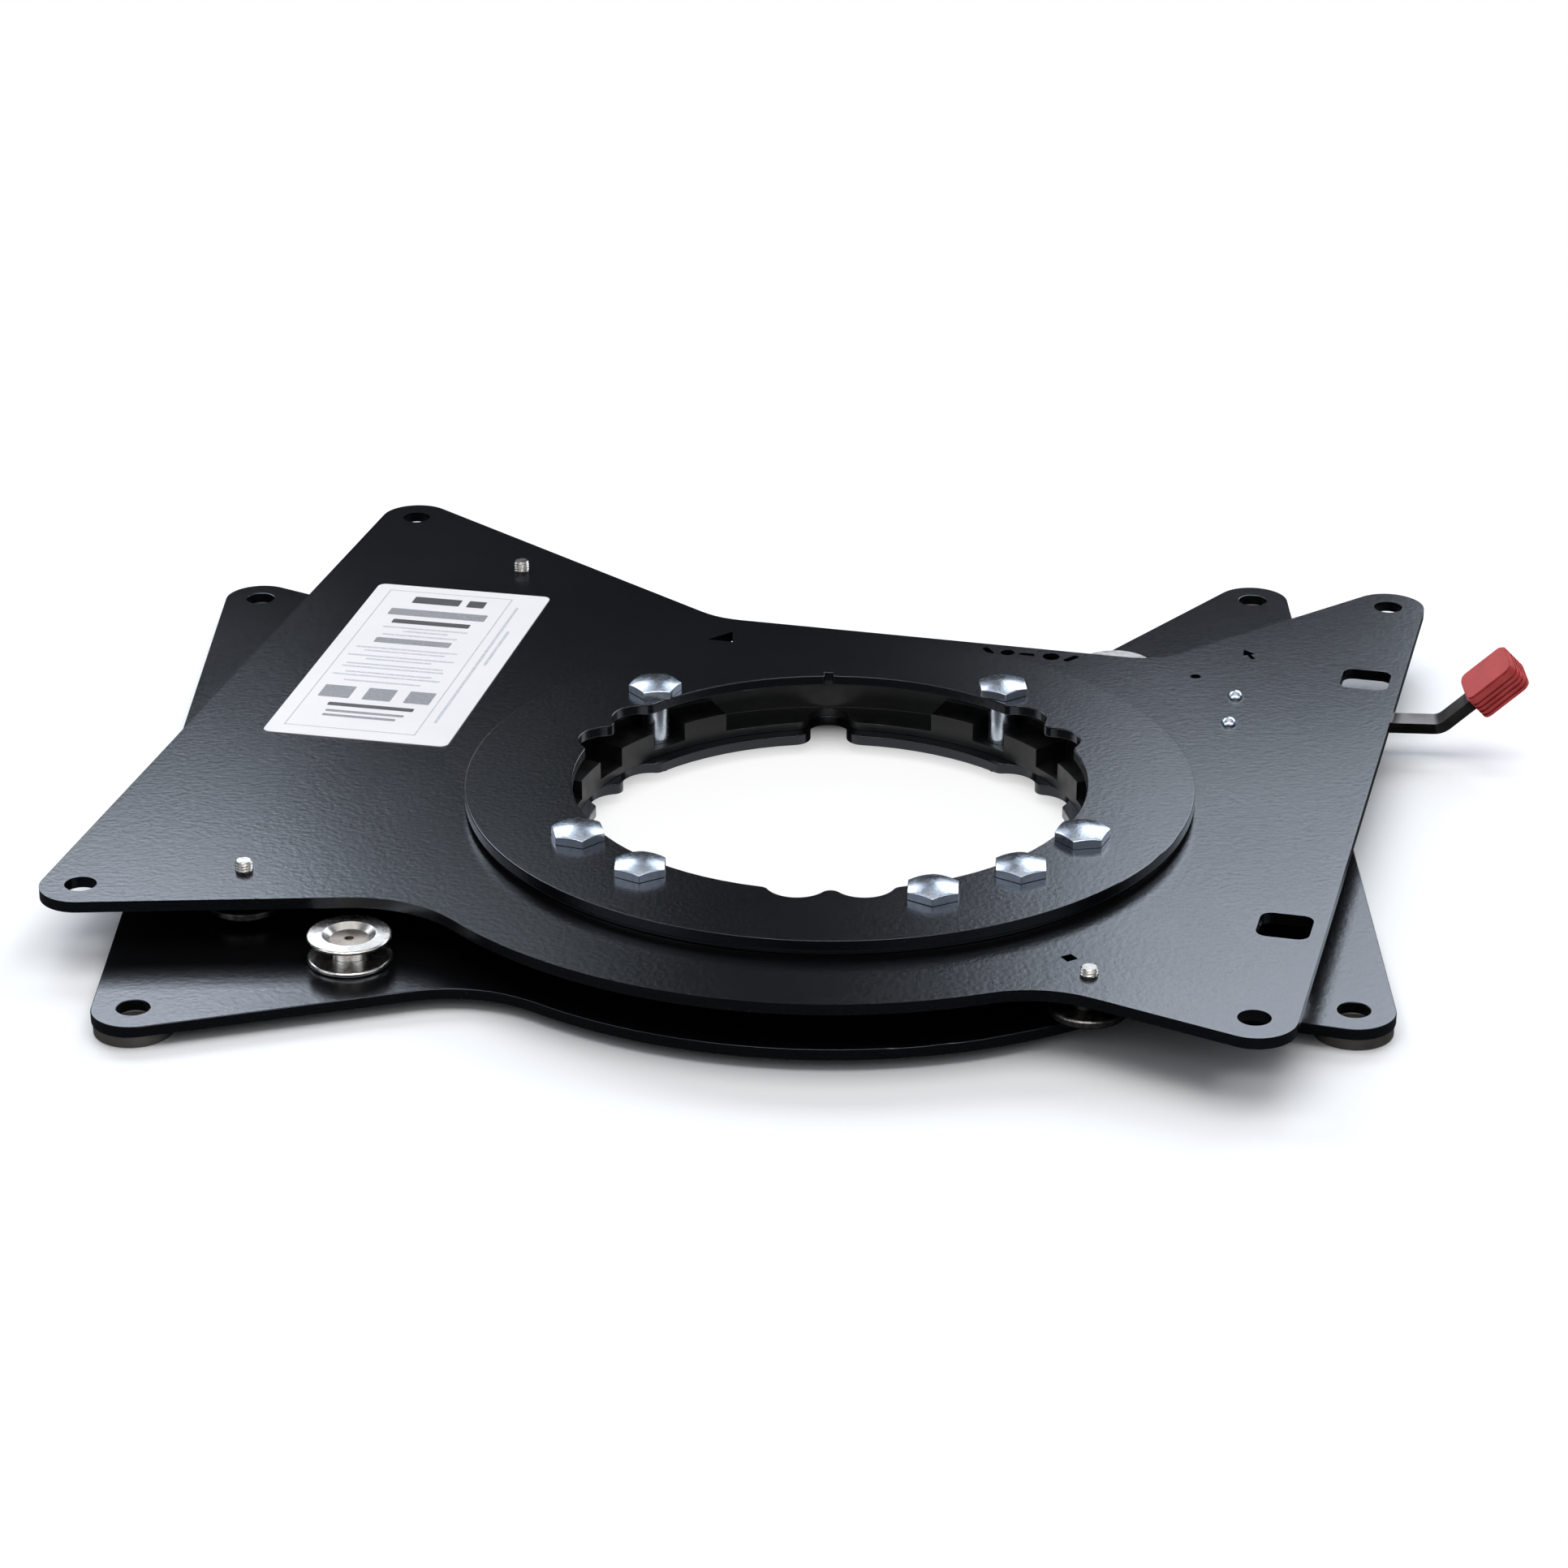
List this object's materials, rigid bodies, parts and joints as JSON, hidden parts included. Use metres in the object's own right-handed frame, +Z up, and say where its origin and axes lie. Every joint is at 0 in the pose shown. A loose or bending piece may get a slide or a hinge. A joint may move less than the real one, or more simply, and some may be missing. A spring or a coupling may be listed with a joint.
{
  "type": "swivel seat base",
  "caption": "Turntable for a camper seat: a flat plate with corner holes turning on a matching lower plate, with a bolted clamp ring and a latch lever.",
  "frame": {"origin": "on the swivel axis, level with the undersides of the four feet", "axes": "+Z up along the swivel axis, +Y to the back of the base, +X to the side of the latch lever; the lower plate is square to these axes and the upper plate stands turned 13.8 degrees clockwise from it, seen from above"},
  "size_m": [0.5274, 0.4681, 0.0421],
  "materials": {
    "powder_coat": "black powder coat, satin gloss with fine orange peel",
    "black_plastic": "moulded black plastic",
    "zinc_plate": "bright zinc plate, slightly blue",
    "copper_tone": "dull copper-toned plate",
    "turned_steel": "bright turned steel",
    "dark_steel": "dark phosphated steel",
    "bare_steel": "bare steel",
    "lever_steel": "dark satin paint on flat steel bar",
    "label_film": null,
    "red_plastic": "salmon-red moulded plastic"
  },
  "bodies": {
    "base": {"lower_plate": "powder_coat", "front_left_foot": "bare_steel", "front_right_foot": "bare_steel", "back_left_foot": "bare_steel", "back_right_foot": "bare_steel", "lower_glide_ring": "black_plastic", "upper_glide_ring": "black_plastic", "clamp_ring": "powder_coat", "shoulder_bolts": "zinc_plate", "flange_nuts": "copper_tone", "front_left_spool": "turned_steel", "back_right_spool": "turned_steel", "spool_screws": "zinc_plate"},
    "turntable": {"upper_plate": "powder_coat", "front_left_button": "dark_steel", "front_right_button": "dark_steel", "back_left_button": "dark_steel", "button_screws": "zinc_plate", "label": "label_film", "pivot_pin": "zinc_plate", "guide_pin": "zinc_plate", "pivot_spacer": "bare_steel", "guide_spacer": "bare_steel", "wave_washer": "bare_steel"},
    "lever": {"latch_lever": "lever_steel", "lever_grip": "red_plastic"}
  },
  "joints": [
    {"name": "swivel", "type": "hinge", "parent": "base", "child": "turntable", "pos_m": [0, 0, 0.0225], "axis": [0, 0, 1], "range_deg": [-166.2, 13.8]},
    {"name": "latch", "type": "hinge", "parent": "turntable", "child": "lever", "pos_m": [0.15155, 0.08583, 0.0126], "axis": [0, 0, 1], "range_deg": [0, 20]}
  ]
}
